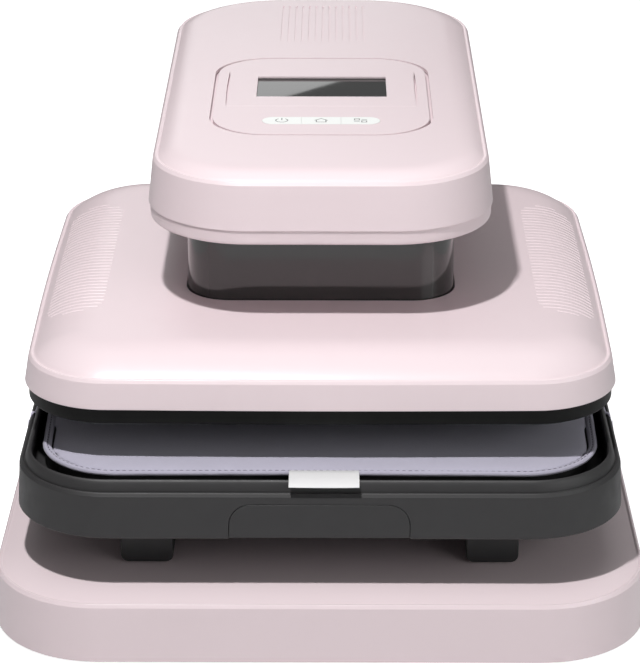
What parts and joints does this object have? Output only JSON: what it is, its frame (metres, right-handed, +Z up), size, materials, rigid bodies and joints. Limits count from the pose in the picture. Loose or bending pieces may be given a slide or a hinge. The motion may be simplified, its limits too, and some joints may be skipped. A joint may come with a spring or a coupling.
{
  "type": "automatic heat press",
  "caption": "Benchtop automatic heat press: a heated plate lowers on a column onto a soft mat in a sliding tray.",
  "frame": {"origin": "on the table, under the middle of the base footprint", "axes": "+Z up, +Y to the rear, +X to the right seen from the front"},
  "size_m": [0.442, 0.594, 0.3037],
  "materials": {
    "pink_gloss": "pale pink moulded ABS, satin gloss",
    "grey_plastic": "dark grey moulded plastic, fine matte grain",
    "black_plastic": "black heat-resistant plastic",
    "smoked_gloss": "smoked dark grey, high gloss",
    "white_key": "white key caps with grey icons",
    "display_glass": "dark grey display window",
    "circuit_board": "green circuit board",
    "steel": "folded sheet steel, zinc plated",
    "chrome": "ground and chromed rod",
    "cast_aluminium": "cast and machined",
    "brass": "turned bearing bronze",
    "dark_rubber": "non-slip rubber",
    "lavender_felt": "lavender grey felted pad with a sewn edge",
    "lavender_elastic": "woven elastic",
    "white_tape": "plain white woven tape",
    "mineral_wool": "pressed mineral fibre board"
  },
  "bodies": {
    "frame": {"base_shell": "pink_gloss", "base_floor": "grey_plastic", "chassis_plate": "steel", "foot_front_left": "dark_rubber", "foot_front_right": "dark_rubber", "foot_rear_left": "dark_rubber", "foot_rear_right": "dark_rubber", "power_board": "circuit_board", "pillar_post_left": "steel", "pillar_post_right": "steel", "pillar_shell": "pink_gloss", "pillar_rear_cover": "pink_gloss", "mains_inlet": "black_plastic", "switch_frame": "black_plastic", "head_lower_shell": "pink_gloss", "head_upper_shell": "pink_gloss", "head_arm": "steel", "control_bezel": "pink_gloss", "display_window": "display_glass", "display_module": "black_plastic", "control_board": "circuit_board", "fixed_rail_left": "steel", "fixed_rail_right": "steel", "worm_gearbox": "cast_aluminium", "lift_motor": "steel", "guide_rod_left": "chrome", "guide_rod_right": "chrome"},
    "lift": {"plate_cover": "pink_gloss", "plate_skirt": "black_plastic", "platen": "cast_aluminium", "heating_element": "steel", "thermal_cutout": "black_plastic", "insulation_pad": "mineral_wool", "carrier_plate": "steel", "column_cover": "smoked_gloss", "lift_bridge": "cast_aluminium", "bridge_bush_left": "brass", "bridge_bush_right": "brass", "lift_nut": "brass"},
    "drive_screw": {"shaft_coupler": "steel", "lead_screw": "chrome"},
    "tray": {"tray_shell": "grey_plastic", "tray_floor_plate": "grey_plastic", "tray_front_panel": "grey_plastic", "heat_mat": "lavender_felt", "mat_tag": "white_tape", "mat_strap_front_left": "lavender_elastic", "mat_strap_front_right": "lavender_elastic", "mat_strap_rear_left": "lavender_elastic", "mat_strap_rear_right": "lavender_elastic", "runner_housing_left": "black_plastic", "runner_housing_right": "black_plastic", "inner_rail_left": "steel", "inner_rail_right": "steel"},
    "middle_rails": {"middle_rail_left": "steel", "middle_rail_right": "steel"},
    "power_key": {"key_power": "white_key"},
    "home_key": {"key_home": "white_key"},
    "mode_key": {"key_mode": "white_key"},
    "rocker": {"power_rocker": "black_plastic"}
  },
  "joints": [
    {"name": "plate_lift", "type": "slide", "parent": "frame", "child": "lift", "axis": [0, 0, -1], "range_m": [0, 0.0217]},
    {"name": "screw_spin", "type": "hinge", "parent": "frame", "child": "drive_screw", "pos_m": [0, -0.041, 0.23], "axis": [0, 0, 1], "range_deg": [0, 1953]},
    {"name": "tray_slide", "type": "slide", "parent": "frame", "child": "tray", "axis": [0, -1, 0], "range_m": [0, 0.3]},
    {"name": "middle_slide", "type": "slide", "parent": "frame", "child": "middle_rails", "axis": [0, -1, 0], "range_m": [0, 0.15]},
    {"name": "power_key_press", "type": "slide", "parent": "frame", "child": "power_key", "axis": [0, 0, -1], "range_m": [0, 0.0008], "stiffness_N_per_m": 600, "springref_m": -0.0008},
    {"name": "home_key_press", "type": "slide", "parent": "frame", "child": "home_key", "axis": [0, 0, -1], "range_m": [0, 0.0008], "stiffness_N_per_m": 600, "springref_m": -0.0008},
    {"name": "mode_key_press", "type": "slide", "parent": "frame", "child": "mode_key", "axis": [0, 0, -1], "range_m": [0, 0.0008], "stiffness_N_per_m": 600, "springref_m": -0.0008},
    {"name": "rocker_tilt", "type": "hinge", "parent": "frame", "child": "rocker", "pos_m": [0.024, 0.262, 0.0853], "axis": [-1, 0, 0], "range_deg": [0, 16]}
  ],
  "couplings": [
    {"joint": "screw_spin", "follows": "plate_lift", "rad_per_m": 1570.8},
    {"joint": "middle_slide", "follows": "tray_slide", "ratio": 0.5}
  ]
}
